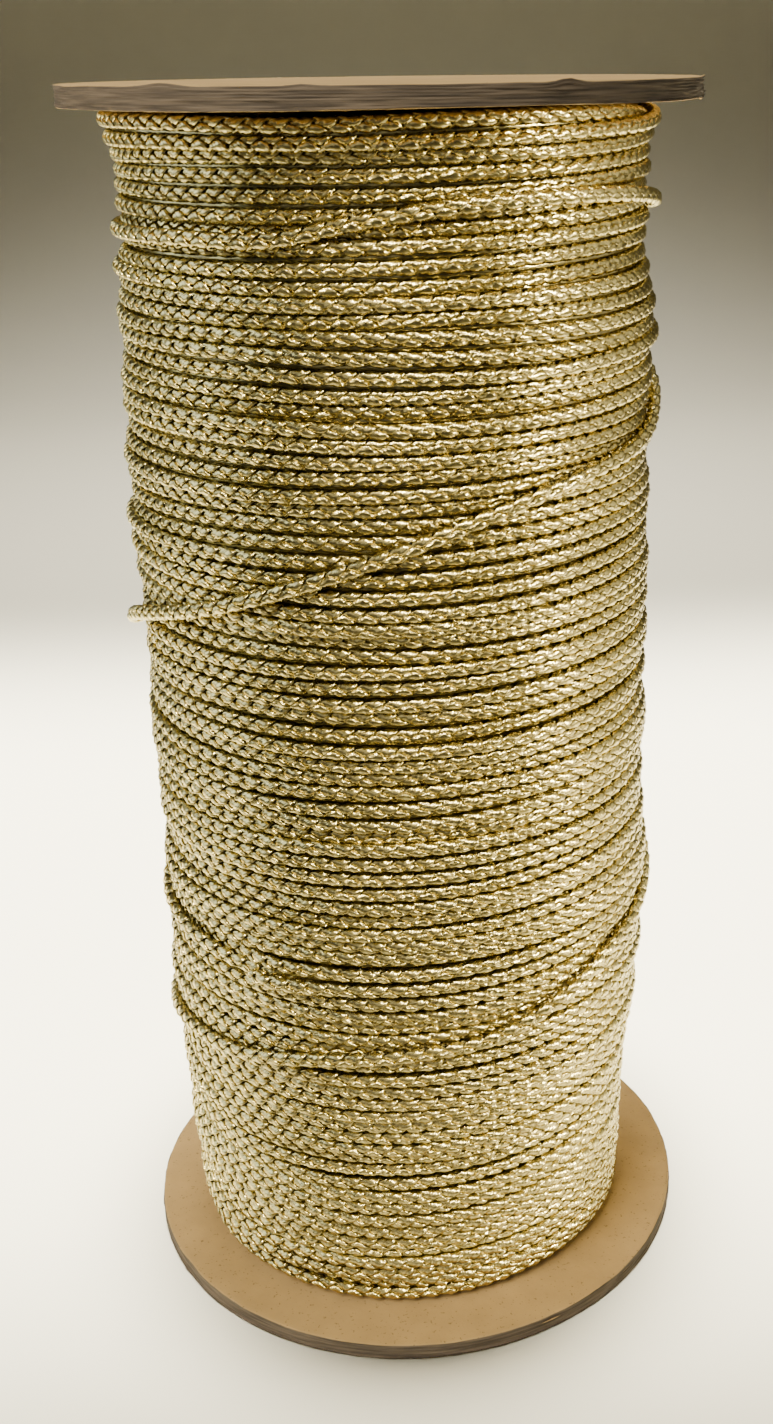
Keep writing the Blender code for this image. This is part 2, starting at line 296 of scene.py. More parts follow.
# Lights, in metres: "power" names the setting that a light's share is taken of, and "falls_on" what it
# reaches. Lights of the overhead power shine straight down, and the others at the target
LIGHT_TARGET = (0.0, 0.0, 0.105)
LIGHT_COLUMNS = ("name", "power", "share", "place", "sides", "beam_deg", "colour", "falls_on")
GOLD_LIGHT = (1.0, 0.90, 0.62)
WARM_LIGHT = (1.0, 0.95, 0.85)
KEY_SIDES = (0.06, 0.06)
LIGHTS = (
    ("key_right", "key", 4.5, (0.65, -0.3, 0.3), KEY_SIDES, 180, GOLD_LIGHT, "cord"),
    ("key_front", "key", 3.5, (0.25, -0.6, 0.75), KEY_SIDES, 180, GOLD_LIGHT, "cord"),
    ("key_left", "key", 5.0, (-0.12, -0.45, 0.95), KEY_SIDES, 180, GOLD_LIGHT, "cord"),
    ("window_right", "side", 0.4, (0.85, 0.1, 0.4), (0.9, 0.9), 180, (1.0, 0.93, 0.72), "part"),
    ("window_left", "side", 1.1, (-0.85, 0.05, 0.45), (0.9, 0.8), 180, (0.8, 0.9, 1.0), "cord"),
    ("front_fill", "side", 0.25, (-0.25, -0.9, 0.55), (1.0, 0.8), 180, WARM_LIGHT, "part"),
    ("board_light", "side", 1.5, (-0.35, -0.45, 0.6), (0.4, 0.4), 180, WARM_LIGHT, "boards"),
    ("overhead", "overhead", 0.55, (0.0, 0.45, 1.2), (0.5, 0.4), 60, (1.0, 0.98, 0.95), "all"),
    ("floor_wash", "overhead", 0.7, (0.0, 0.12, 0.8), (0.6, 0.34), 15, (1.0, 0.98, 0.92), "floor"),
)

# Camera, fitted to the photo's view of both flanges: its place in metres, and its yaw, pitch and roll
CAMERA_PLACE = (0.0, -0.27106, 0.21289)
CAMERA_TURNS = (0.05892, 0.35415, -0.01246)
FOCAL_LENGTH_MM = 40.563
LENS_SHIFT = (-0.07258, -0.04317)
CLIP_START = 0.01


class CordSpoolCord(bpy.types.PropertyGroup):
    """Sizes and finish of the braided cord"""

    width: FloatProperty(
        name="Cord width",
        description="Width of the cord as it lies on the spool",
        default=2.62 * MM,
        min=1.0 * MM,
        max=6.0 * MM,
        precision=4,
        unit="LENGTH",
    )
    stitch: FloatProperty(
        name="Stitch length",
        description="Distance along the cord from one leaf of the braid to the next",
        default=3.35 * MM,
        min=1.5 * MM,
        max=8.0 * MM,
        precision=4,
        unit="LENGTH",
    )
    film_colour: FloatVectorProperty(
        name="Film colour",
        description="Colour of the metallised film",
        default=(0.39, 0.31, 0.12),
        size=3,
        min=0.0,
        max=1.0,
        subtype="COLOR",
    )
    pale_colour: FloatVectorProperty(
        name="Pale film colour",
        description="Colour of the paler lines of the film",
        default=(0.76, 0.64, 0.24),
        size=3,
        min=0.0,
        max=1.0,
        subtype="COLOR",
    )
    roughness: FloatProperty(
        name="Roughness",
        description="Roughness of the film",
        default=0.22,
        min=0.0,
        max=1.0,
        subtype="FACTOR",
    )


class CordSpoolBoard(bpy.types.PropertyGroup):
    """Finish of the chipboard flanges"""

    face_colour: FloatVectorProperty(
        name="Face colour",
        description="Colour of the board's faces",
        default=(0.45, 0.29, 0.105),
        size=3,
        min=0.0,
        max=1.0,
        subtype="COLOR",
    )
    edge_colour: FloatVectorProperty(
        name="Edge colour",
        description="Colour of the board's cut edge",
        default=(0.115, 0.085, 0.053),
        size=3,
        min=0.0,
        max=1.0,
        subtype="COLOR",
    )


class CordSpoolStage(bpy.types.PropertyGroup):
    """The floor and the studio light"""

    floor_colour: FloatVectorProperty(
        name="Floor colour",
        description="Colour of the floor",
        default=(0.93, 0.86, 0.64),
        size=3,
        min=0.0,
        max=1.0,
        subtype="COLOR",
    )
    key_power: FloatProperty(
        name="Key power",
        description="Power that the three small lights' shares are taken of; they make the film glint",
        default=2.4,
        min=0.0,
        max=100.0,
        unit="POWER",
    )
    side_power: FloatProperty(
        name="Side power",
        description="Power that the windows', the front fill's and the board light's shares are taken of",
        default=5.5,
        min=0.0,
        max=100.0,
        unit="POWER",
    )
    overhead_power: FloatProperty(
        name="Overhead power",
        description="Power that the overhead light's and the floor light's shares are taken of",
        default=6.0,
        min=0.0,
        max=100.0,
        unit="POWER",
    )


class CordSpoolSettings(bpy.types.PropertyGroup):
    """Settings of the whole spool"""

    cord: PointerProperty(type=CordSpoolCord)
    board: PointerProperty(type=CordSpoolBoard)
    stage: PointerProperty(type=CordSpoolStage)


# Curves and noise
def columns(rows, names):
    """The table's columns as arrays, by name."""
    return dict(zip(names, np.array(rows, float).T))


def through(values, position):
    """A smooth curve through evenly spaced values, read at fractional positions: the cubic that passes
    through two neighbours with slopes set by the values on either side of them."""
    last = len(values) - 1
    step = np.clip(np.floor(position).astype(int), 0, last - 1)
    share = position - step
    before, start, end, after = (values[np.clip(step + shift, 0, last)] for shift in (-1, 0, 1, 2))
    bend = 2 * before - 5 * start + 4 * end - after
    twist = 3 * (start - end) + after - before
    return start + 0.5 * share * (end - before + share * (bend + share * twist))


def wander(rng, count, samples_per_knot, size):
    """Slow noise along a line: normal random values at evenly spaced knots, joined by a smooth curve."""
    knots = rng.normal(0.0, size, int(count / samples_per_knot) + 4)
    return through(knots, np.arange(count) / samples_per_knot)


def smooth_through(known, values, wanted):
    """A smooth curve through the known values: in each span the cubic that has the value and the slope of
    both its ends, where a slope comes from the values on either side."""
    slopes = np.gradient(values, known)
    step = np.clip(np.searchsorted(known, wanted) - 1, 0, len(known) - 2)
    span = known[step + 1] - known[step]
    share = (wanted - known[step]) / span
    start, end = values[step], values[step + 1]
    lean_in, lean_out = slopes[step] * span, slopes[step + 1] * span
    return (
        start * (1 + 2 * share) * (1 - share) ** 2
        + lean_in * share * (1 - share) ** 2
        + end * share**2 * (3 - 2 * share)
        + lean_out * share**2 * (share - 1)
    )


def unit(vectors):
    """The vectors at length one."""
    return vectors / np.maximum(np.linalg.norm(vectors, axis=-1, keepdims=True), 1e-9)


# The wound form
def winding_form(angle, height):
    """Radius of the wound form at an angle and a height: the profile, less a little, plus the swells."""
    profile = columns(WINDING_PROFILE, PROFILE_COLUMNS)
    swell = columns(SWELLS, SWELL_COLUMNS)
    radius = np.interp(height, profile["height"], profile["reach"]) - REACH_TO_FORM
    share = (height - WINDING_FOOT) / WINDING_LENGTH
    for size, waves, rise, start in zip(*swell.values()):
        phase = waves * angle + 2 * np.pi * rise * share + np.radians(start)
        radius = radius + size * np.sin(phase)
    return radius


def winding_offset(height):
    """How far the wound form's middle stands off the spool's axis along X."""
    profile = columns(WINDING_PROFILE, PROFILE_COLUMNS)
    return np.interp(height, profile["height"], profile["offset"])


# The course of the cord
def wrap_course(rows, angle):
    """Radius and height of a crossing wrap's middle at the angles, on a smooth curve through its table."""
    table = columns(rows, WRAP_COLUMNS)
    degrees = np.degrees(angle)
    height = smooth_through(table["angle_deg"], table["height"], degrees)
    lift = smooth_through(table["angle_deg"], table["lift"], degrees)
    return winding_form(angle, height) + lift, height


def push_apart(radius, height, other_radius, other_height, width, loose=None):
    """How far to move a cord so that its middle comes half way to a cord's width from another's: along
    the line between their middles, by half of what is missing. Where they lie further apart than the
    loose width they are drawn together by a quarter of what is too much."""
    across, up = radius - other_radius, height - other_height
    distance = np.hypot(across, up)
    missing = np.clip(width - distance, 0.0, None)
    if loose is not None:
        missing = missing - 0.5 * np.clip(distance - loose, 0.0, None)
    share = 0.5 * missing / np.maximum(distance, 0.1)
    return across * share, up * share


def push_from_wraps(angle, radius, height, width):
    """The moves that clear the level turns from the crossing wraps, which stay where they are: the whole
    way in or out, and less of the way up or down."""
    move_out = np.zeros_like(radius)
    move_up = np.zeros_like(height)
    turned = (angle + np.pi) % (2 * np.pi) - np.pi
    for rows in CROSSING_WRAPS.values():
        first, last = math.radians(rows[0][0]), math.radians(rows[-1][0])
        for lap in (-2 * np.pi, 0.0, 2 * np.pi):
            under = (turned + lap > first) & (turned + lap < last)
            wrap_radius, wrap_height = wrap_course(rows, (turned + lap)[under])
            out, up = push_apart(radius[under], height[under], wrap_radius, wrap_height, width)
            move_out[under] += WRAP_PUSH_OUT * out
            move_up[under] += WRAP_PUSH_UP * up
    return move_out, move_up


def drift(rng, angle, share):
    """How far the laid turns stray up or down together: a sum of waves, each with a random number of
    crests round the spool and up it."""
    stray = 0.0 * angle
    for _ in range(DRIFT_WAVES):
        waves = rng.integers(*DRIFT_WAVES_ROUND, endpoint=True)
        rise = rng.uniform(*DRIFT_WAVES_UP)
        start = rng.uniform(0, 2 * np.pi)
        stray = stray + DRIFT_SIZE * np.sin(waves * angle + 2 * np.pi * rise * share + start)
    return stray


def laid_course(rng, width):
    """Angle, radius and height along the level turns before they settle: an even helix with slow noise in
    height and reach, level at both ends."""
    count = LEVEL_TURNS * STEPS_PER_TURN + 1
    turn = np.arange(count) / STEPS_PER_TURN
    angle = 2 * np.pi * turn + np.pi
    low, high = WINDING_FOOT + width / 2, WINDING_HEAD - width / 2
    share = np.clip((turn - END_TURNS) / (LEVEL_TURNS - 2 * END_TURNS), 0.0, 1.0)
    height = low + (high - low) * share
    height = height + drift(rng, angle, turn / LEVEL_TURNS)
    height = height + wander(rng, count, STEPS_PER_TURN / HEIGHT_KNOTS_PER_TURN, HEIGHT_WANDER)
    height = np.clip(height, low, high)
    reach = winding_form(angle, height) + REACH_TO_FORM - REACH_TO_MIDDLE
    radius = reach + wander(rng, count, STEPS_PER_TURN / REACH_KNOTS_PER_TURN, REACH_WANDER)
    return angle, radius, height


def level_course(width):
    """Angle, radius and height along the level turns. In each settling round every turn is pushed off its
    neighbours and off the crossing wraps, drawn back a little to where it was laid, and evened along its
    length."""
    angle, laid_radius, laid_height = laid_course(np.random.default_rng(LAYING_SEED), width)
    radius, height = laid_radius.copy(), laid_height.copy()
    low, high = WINDING_FOOT + width / 2, WINDING_HEAD - width / 2
    packed = width * PACKED_WIDTH
    neighbours = ((STEPS_PER_TURN, width * LOOSE_WIDTH), (2 * STEPS_PER_TURN, None))
    for _ in range(SETTLING_ROUNDS):
        for lap, loose in neighbours:
            out, up = push_apart(radius[lap:], height[lap:], radius[:-lap], height[:-lap], packed, loose)
            for line, move in ((radius, out), (height, up)):
                line[lap:] += PUSH_SHARE * move
                line[:-lap] -= PUSH_SHARE * move
        out, up = push_from_wraps(angle, radius, height, packed)
        radius += WRAP_PUSH_SHARE * out
        height += WRAP_PUSH_SHARE * up
        radius += REACH_RETURN * (laid_radius - radius)
        height += HEIGHT_RETURN * (laid_height - height)
        for line in (radius, height):
            line[1:-1] += EVENING * (line[:-2] - 2 * line[1:-1] + line[2:])
        height = np.clip(height, low, high)
    return angle, radius, height


def course_of(angle, radius, height):
    """A course in space: its points, the way along it, the way out from the spool and the way up the
    cord's side at each point, and the length up to it."""
    points = np.stack(
        [radius * np.sin(angle) + winding_offset(height), -radius * np.cos(angle), height], axis=-1
    )
    along = unit(np.gradient(points, axis=0))
    out = np.stack([np.sin(angle), -np.cos(angle), 0 * angle], axis=-1)
    out = unit(out - along * (out * along).sum(axis=-1, keepdims=True))
    steps = np.linalg.norm(np.diff(points, axis=0), axis=-1)
    length = np.concatenate([[0.0], np.cumsum(steps)])
    return {"points": points, "along": along, "out": out, "up": np.cross(out, along), "length": length}


def read_course(course, name, place):
    """One of the course's vectors at the given lengths along it."""
    return np.stack([np.interp(place, course["length"], axis) for axis in course[name].T], axis=-1)


# The braid
def leaf_places(middles, facing):
    """Where a strand is sampled, in stitches: at set shares from the middle of each leaf, whose angle from
    the way out says whether it is seen, at the cord's side or hidden."""
    seen = np.cos(facing - math.radians(SEEN_FROM_DEG))
    kinds = (
        (seen > SIDE_LEAF_LIMIT, LEAF_STEPS),
        (abs(seen) <= SIDE_LEAF_LIMIT, SIDE_LEAF_STEPS),
        (seen < -SIDE_LEAF_LIMIT, HIDDEN_LEAF_STEPS),
    )
    places = [(middles[kind][:, None] + np.array(steps)[None, :]).ravel() for kind, steps in kinds]
    return np.sort(np.concatenate(places))


def strand_rings(course, roll, direction, phase, stitch, stretch):
    """Rings of points along one strand of the braid, and the length along the cord at each.

    The strand goes half way round the cord in a stitch, and rises over a strand and sinks under the next.
    Its distance from the cord's middle is its orbit, plus its hump times the hyperbolic tangent of a cosine
    of the way through the stitch: the tangent flattens the crest, and the cosine is skewed along the leaf.
    Where the strand passes over, it turns more slowly, so that it lies straighter, and it is wider. Each
    ring is its flat section, leaned along the strand and bent round the cord and along its course. The roll
    turns the whole braid, and the cord is stretched upwards and outwards by the two given shares."""
    total = course["length"][-1]
    rate = direction * np.pi / stitch
    rolled = np.linspace(0.0, total, len(roll))
    first_leaf = 0.25 * (1 - direction)
    middles = np.arange(int(total / stitch) + 1) + first_leaf
    facing = rate * stitch * middles + phase + np.interp(stitch * middles, rolled, roll)
    place = stitch * leaf_places(middles, facing)
    place = place[(place > 0.0) & (place < total)]

    cycle = 2 * np.pi * (place / stitch - first_leaf)
    over = np.cos(cycle)
    crest = np.cos(cycle - STRAND_SKEW * (1 + over))
    humped = np.tanh(STRAND_PLATEAU * crest) / math.tanh(STRAND_PLATEAU)
    turning = 0.5 * STRAND_STRAIGHTENING * direction * np.sin(cycle)
    around = rate * place + phase - turning + np.interp(place, rolled, roll)
    orbit = STRAND_ORBIT + STRAND_HUMP * humped
    lean = np.arctan(orbit * rate * (1 - STRAND_STRAIGHTENING * over))[:, None]

    section = np.array(STRAND_SECTION)
    across = STRAND_HALF_WIDTH * (1 + STRAND_FLARE * over)[:, None] * section[None, :, 0]
    reach = orbit[:, None] + STRAND_HALF_THICKNESS * section[None, :, 1]
    turned = around[:, None] + across * np.cos(lean) / STRAND_ORBIT
    spot = place[:, None] - across * np.sin(lean)
    upwards, outwards = stretch
    out = read_course(course, "out", spot) * (outwards * reach * np.cos(turned))[:, :, None]
    up = read_course(course, "up", spot) * (upwards * reach * np.sin(turned))[:, :, None]
    return place, read_course(course, "points", spot) + out + up


def ring_grid(rings, around):
    """Numbers for each quad between closed rings of points: its first ring, its side and the next side."""
    ring, side = np.meshgrid(np.arange(rings - 1), np.arange(around), indexing="ij")
    return ring, side, (side + 1) % around


def tube_faces(rings, around, first):
    """Corners and sizes of the faces of a closed tube: a quad between each ring's points and the next
    ring's, and one face over each end."""
    ring, side, after = ring_grid(rings, around)
    low, high = ring * around, (ring + 1) * around
    quads = np.stack([low + side, low + after, high + after, high + side], axis=-1).ravel()
    start = np.arange(around)[::-1]
    end = np.arange(around) + (rings - 1) * around
    corners = np.concatenate([quads, start, end]) + first
    sizes = np.concatenate([np.full(len(quads) // 4, 4), [around, around]])
    return corners, sizes


def tube_map(place, around):
    """Map coordinates of the same faces: the length along the tube, and the share of the way round."""
    ring, side, _ = ring_grid(len(place), around)
    here, there = place[ring], place[ring + 1]
    left, right = side / around, (side + 1) / around
    quads = np.stack(
        [np.stack(pair, axis=-1) for pair in ((here, left), (here, right), (there, right), (there, left))],
        axis=-2,
    )
    sides = np.arange(around) / around
    start = np.stack([np.full(around, place[0]), sides[::-1]], axis=-1)
    end = np.stack([np.full(around, place[-1]), sides], axis=-1)
    return np.concatenate([quads.reshape(-1, 2), start, end])


def write_mesh(name, points, corners, sizes, coordinates=None):
    """A mesh from arrays: points in millimetres, the corners of all faces in a row, the number of
    corners of each face, and map coordinates for each corner."""
    mesh = bpy.data.meshes.new(name)
    mesh.vertices.add(len(points))
    mesh.vertices.foreach_set("co", (points * MM).astype(np.float32).ravel())
    mesh.loops.add(len(corners))
    mesh.loops.foreach_set("vertex_index", corners.astype(np.int32))
    mesh.polygons.add(len(sizes))
    starts = np.concatenate([[0], np.cumsum(sizes)[:-1]]).astype(np.int32)
    mesh.polygons.foreach_set("loop_start", starts)
    if coordinates is not None:
        layer = mesh.uv_layers.new(name="UVMap")
        layer.data.foreach_set("uv", coordinates.astype(np.float32).ravel())
    mesh.update(calc_edges=True)
    mesh.shade_smooth()
    if mesh.validate():
        raise RuntimeError(name + " has broken faces")
    return mesh


def place_piece(name, mesh, material, node):
    """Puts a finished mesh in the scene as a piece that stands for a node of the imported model."""
    piece = bpy.data.objects.new(name, mesh)
    mesh.materials.append(material)
    bpy.context.scene.collection.objects.link(piece)
    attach(piece, "root")
    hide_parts(node)
    return piece


def braided_piece(name, strands, material):
    """One piece from the strands' rings: each strand is a closed tube."""
    points, corners, sizes, coordinates = [], [], [], []
    first = 0
    around = len(STRAND_SECTION)
    for place, rings in strands:
        strand_corners, strand_sizes = tube_faces(len(rings), around, first)
        points.append(rings.reshape(-1, 3))
        corners.append(strand_corners)
        sizes.append(strand_sizes)
        coordinates.append(tube_map(place, around))
        first += rings.shape[0] * around
    mesh = write_mesh(name, *(np.concatenate(part) for part in (points, corners, sizes, coordinates)))
    return place_piece(name, mesh, material, "cord_winding")


def braid(course, roll, stitch, stretch):
    """The four strands of the braid along a course."""
    return [
        strand_rings(course, roll, direction, math.radians(phase), stitch, stretch)
        for direction, phase in STRAND_PHASES_DEG
    ]


def braid_roll(rng, samples):
    """The braid's roll about the cord in radians, at evenly spaced places: a set roll and a slow noise."""
    return np.radians(ROLL_DEG + wander(rng, samples, ROLL_SAMPLES_PER_KNOT, ROLL_WANDER_DEG))


def under_turns_piece(name, angle, radius, height, width, material):
    """The layer beneath as plain tubes: each turn runs midway between two level turns, further in."""
    lap = STEPS_PER_TURN
    under_height = (height[lap:] + height[:-lap]) / 2
    under_radius = (radius[lap:] + radius[:-lap]) / 2 - UNDER_TURN_DEPTH
    under = course_of(angle[lap::2], under_radius[::2], under_height[::2])
    turned = np.arange(UNDER_TURN_SIDES) * 2 * np.pi / UNDER_TURN_SIDES
    out, up = under["out"][:, None, :], under["up"][:, None, :]
    ring = out * np.cos(turned)[None, :, None] + up * np.sin(turned)[None, :, None]
    points = (under["points"][:, None, :] + ring * width * UNDER_TURN_RADIUS).reshape(-1, 3)
    corners, sizes = tube_faces(len(under["points"]), UNDER_TURN_SIDES, 0)
    mesh = write_mesh(name, points, corners, sizes, tube_map(under["length"], UNDER_TURN_SIDES))
    return place_piece(name, mesh, material, "cord_winding")


def cut_strands(strands, first, last):
    """The stretch of each strand between two lengths along the cord, with a ring shared at each cut."""
    cut = []
    for place, rings in strands:
        start = max(np.searchsorted(place, first) - 1, 0)
        end = min(np.searchsorted(place, last), len(place))
        cut.append((place[start:end], rings[start:end]))
    return cut


# Boards
def board_points(low, high, damage_rows, seed):
    """Rings of points over a die-cut board, from its upper middle out, down its rim and back in.

    The rim is a stack of plies, each a low ridge between two grooves that wander in height. Its two edges
    are rounded, and fibres roughen it. Each row of damage presses it in, lifts it and frays it by a bell
    curve round the board."""
    rng = np.random.default_rng(seed)
    angle = np.arange(FLANGE_SEGMENTS) * 2 * np.pi / FLANGE_SEGMENTS
    rim_rows = PLIES * ROWS_PER_PLY + 1
    inner = np.array(FACE_RINGS)
    share = np.concatenate([inner, np.ones(rim_rows), inner[::-1]])
    depth = np.concatenate([np.zeros(len(inner)), np.linspace(0.0, 1.0, rim_rows), np.ones(len(inner))])
    on_rim = (share == 1.0)[:, None]
    share_grid, angle_grid = np.meshgrid(share, angle, indexing="ij")
    depth_grid = np.broadcast_to(depth[:, None], angle_grid.shape)
    waves = 0.0
    for wave in PLY_WAVES:
        size, start = rng.uniform(*PLY_WAVE_SIZES) / wave, rng.uniform(*PLY_WAVE_STARTS)
        waves = waves + size * np.sin(wave * angle_grid + start)
    ridge = np.abs(np.sin(np.pi * PLIES * (depth_grid + PLY_WAVE_SHARE * waves)))
    edge = np.minimum(depth_grid, 1 - depth_grid)
    rounding = RIM_ROUNDING * np.clip(1 - edge / RIM_ROUNDED_SHARE, 0.0, 1.0) ** 2
    fray = rng.normal(0.0, 1.0, angle_grid.shape)
    fibres = fray + np.roll(fray, 1, axis=1) + np.roll(fray, -1, axis=1)
    rim = PLY_GROOVE * (ridge - 1.0) + RIM_FIBRE * fibres - rounding
    radius = share_grid * FLANGE_RADIUS + np.where(on_rim, rim, 0.0)
    height = high - (high - low) * depth_grid
    near_rim = np.clip((share_grid - LIFTED_FROM) / (1 - LIFTED_FROM), 0.0, 1.0)
    damage = columns(damage_rows, DAMAGE_COLUMNS)
    for where, half_width, inward, lifted, frayed, top, bottom in zip(*damage.values()):
        away = (np.degrees(angle_grid) - where + 180.0) % 360.0 - 180.0
        bell = np.exp(-((away / half_width) ** 2))
        taken = bell * ((depth_grid >= top - DEPTH_MARGIN) & (depth_grid <= bottom + DEPTH_MARGIN))
        radius = radius + (frayed * fray - inward) * taken * on_rim
        height = height + (lifted + HEIGHT_FRAY * frayed * fray) * taken * near_rim
    return np.stack([radius * np.sin(angle_grid), -radius * np.cos(angle_grid), height], axis=-1)


def board_piece(name, low, high, damage_rows, seed, node, material):
    """A board from its rings, closed by a fan of triangles round the middle of each face."""
    rings = board_points(low, high, damage_rows, seed)
    rows, around = rings.shape[:2]
    ring, side, after = ring_grid(rows, around)
    upper, lower = ring * around, (ring + 1) * around
    quads = np.stack([upper + side, lower + side, lower + after, upper + after], axis=-1).ravel()
    sides = np.arange(around)
    following = (sides + 1) % around
    top_pole, bottom_pole = rows * around, rows * around + 1
    top = np.stack([sides * 0 + top_pole, sides, following], axis=-1).ravel()
    last = (rows - 1) * around
    bottom = np.stack([sides * 0 + bottom_pole, last + following, last + sides], axis=-1).ravel()
    points = np.concatenate([rings.reshape(-1, 3), [[0.0, 0.0, high], [0.0, 0.0, low]]])
    corners = np.concatenate([quads, top, bottom])
    sizes = np.concatenate([np.full(len(quads) // 4, 4), np.full(2 * around, 3)])
    mesh = write_mesh(name, points, corners, sizes)
    return place_piece(name, mesh, material, node)


# Materials
def set_input(tree, socket, value):
    """Sets an input socket to a value, or links it where the value is a socket."""
    if isinstance(value, bpy.types.NodeSocket):
        tree.links.new(value, socket)
    else:
        socket.default_value = value


def add_node(tree, kind, **inputs):
    """A node with its inputs set or linked. An input is given by its label, or by the letter i and its
    number."""
    node = tree.nodes.new(kind)
    for key, value in inputs.items():
        by_number = key[0] == "i" and key[1:].isdigit()
        set_input(tree, node.inputs[int(key[1:]) if by_number else key.replace("_", " ")], value)
    return node


def new_material(name):
    """A material, its node tree and its shader."""
    material = bpy.data.materials.new(name)
    material.use_nodes = True
    tree = material.node_tree
    return material, tree, tree.nodes["Principled BSDF"]


def mix_colours(tree, share, first, second):
    """The output of a node that mixes two colours, each a socket or four channels, by a share."""
    mix = tree.nodes.new("ShaderNodeMix")
    mix.data_type = "RGBA"
    tree.links.new(share, mix.inputs["Factor"])
    for socket, colour in zip((mix.inputs[6], mix.inputs[7]), (first, second)):
        set_input(tree, socket, colour)
    return mix.outputs[2]


def shaded(colour, share):
    """A colour with its three channels multiplied by a share, and full alpha."""
    return [channel * share for channel in colour] + [1.0]


def film_lines_group():
    """Fine lines that run along a strand of film, from noise stretched along the piece's own map."""
    group = bpy.data.node_groups.new("film lines", "ShaderNodeTree")
    for label, value in (("Lines Across", 9.0), ("Lines Along", 0.35)):
        socket = group.interface.new_socket(label, in_out="INPUT", socket_type="NodeSocketFloat")
        socket.default_value = value
    group.interface.new_socket("Line", in_out="OUTPUT", socket_type="NodeSocketFloat")
    given, result = group.nodes.new("NodeGroupInput"), group.nodes.new("NodeGroupOutput")
    own_map = group.nodes.new("ShaderNodeUVMap")
    own_map.uv_map = "UVMap"
    scale = add_node(
        group, "ShaderNodeCombineXYZ", X=given.outputs["Lines Along"], Y=given.outputs["Lines Across"]
    )
    stretched = add_node(group, "ShaderNodeVectorMath", i0=own_map.outputs["UV"], i1=scale.outputs[0])
    stretched.operation = "MULTIPLY"
    noise = add_node(group, "ShaderNodeTexNoise", Vector=stretched.outputs[0], **FILM_LINES_NOISE)
    spread = add_node(group, "ShaderNodeMapRange", Value=noise.outputs["Fac"], **FILM_LINES_RANGE)
    group.links.new(spread.outputs["Result"], result.inputs["Line"])
    return group


def film_material(name, group, settings, shade):
    """Metallised film in fine lines, which differ a little in colour, height and roughness, with both
    colours multiplied by the shade: a share below one paints shade on the turns beneath.
    """
    material, tree, shader = new_material(name)
    lines = tree.nodes.new("ShaderNodeGroup")
    lines.node_tree = group
    line = lines.outputs["Line"]
    deep, pale = shaded(settings.film_colour, shade), shaded(settings.pale_colour, shade)
    tree.links.new(mix_colours(tree, line, deep, pale), shader.inputs["Base Color"])
    low, high = settings.roughness - ROUGHNESS_SPREAD, settings.roughness + ROUGHNESS_SPREAD
    rough = add_node(tree, "ShaderNodeMapRange", Value=line, To_Min=high, To_Max=low)
    tree.links.new(rough.outputs["Result"], shader.inputs["Roughness"])
    bump = add_node(tree, "ShaderNodeBump", Height=line, **FILM_BUMP)
    tree.links.new(bump.outputs["Normal"], shader.inputs["Normal"])
    for label, value in FILM_FINISH.items():
        shader.inputs[label].default_value = value
    return material


def board_material(name, settings):
    """Chipboard: fibres and specks on its faces, and a darker cut edge where the surface turns steep."""
    material, tree, shader = new_material(name)
    place = tree.nodes.new("ShaderNodeTexCoord").outputs["Object"]

    cloud = add_node(tree, "ShaderNodeTexNoise", Vector=place, **CLOUD_NOISE)
    shades = [shaded(settings.face_colour, share) for share in CLOUD_SHADES]
    face = mix_colours(tree, cloud.outputs["Fac"], *shades)
    speck = add_node(tree, "ShaderNodeTexNoise", Vector=place, **SPECK_NOISE)
    spots = add_node(tree, "ShaderNodeMapRange", Value=speck.outputs["Fac"], **SPECK_RANGE)
    dotted = mix_colours(tree, spots.outputs["Result"], face, shaded(settings.face_colour, SPECK_SHADE))

    flat = add_node(tree, "ShaderNodeVectorMath", i0=place, i1=PLY_STRETCH)
    flat.operation = "MULTIPLY"
    ply = add_node(tree, "ShaderNodeTexNoise", Vector=flat.outputs[0], **PLY_NOISE)
    streak = add_node(tree, "ShaderNodeMapRange", Value=ply.outputs["Fac"], **PLY_RANGE)
    shades = [shaded(settings.edge_colour, share) for share in PLY_SHADES]
    cut = mix_colours(tree, streak.outputs["Result"], *shades)

    geometry = tree.nodes.new("ShaderNodeNewGeometry")
    way = add_node(tree, "ShaderNodeSeparateXYZ", Vector=geometry.outputs["Normal"])
    level = add_node(tree, "ShaderNodeMath", i0=way.outputs["Z"])
    level.operation = "ABSOLUTE"
    edge = add_node(tree, "ShaderNodeMapRange", Value=level.outputs[0], **EDGE_RANGE)
    board = mix_colours(tree, edge.outputs["Result"], dotted, cut)
    tree.links.new(board, shader.inputs["Base Color"])
    fibre = add_node(tree, "ShaderNodeTexNoise", Vector=place, **FIBRE_NOISE)
    bump = add_node(tree, "ShaderNodeBump", Height=fibre.outputs["Fac"], **FIBRE_BUMP)
    tree.links.new(bump.outputs["Normal"], shader.inputs["Normal"])
    shader.inputs["Roughness"].default_value = BOARD_ROUGHNESS
    return material


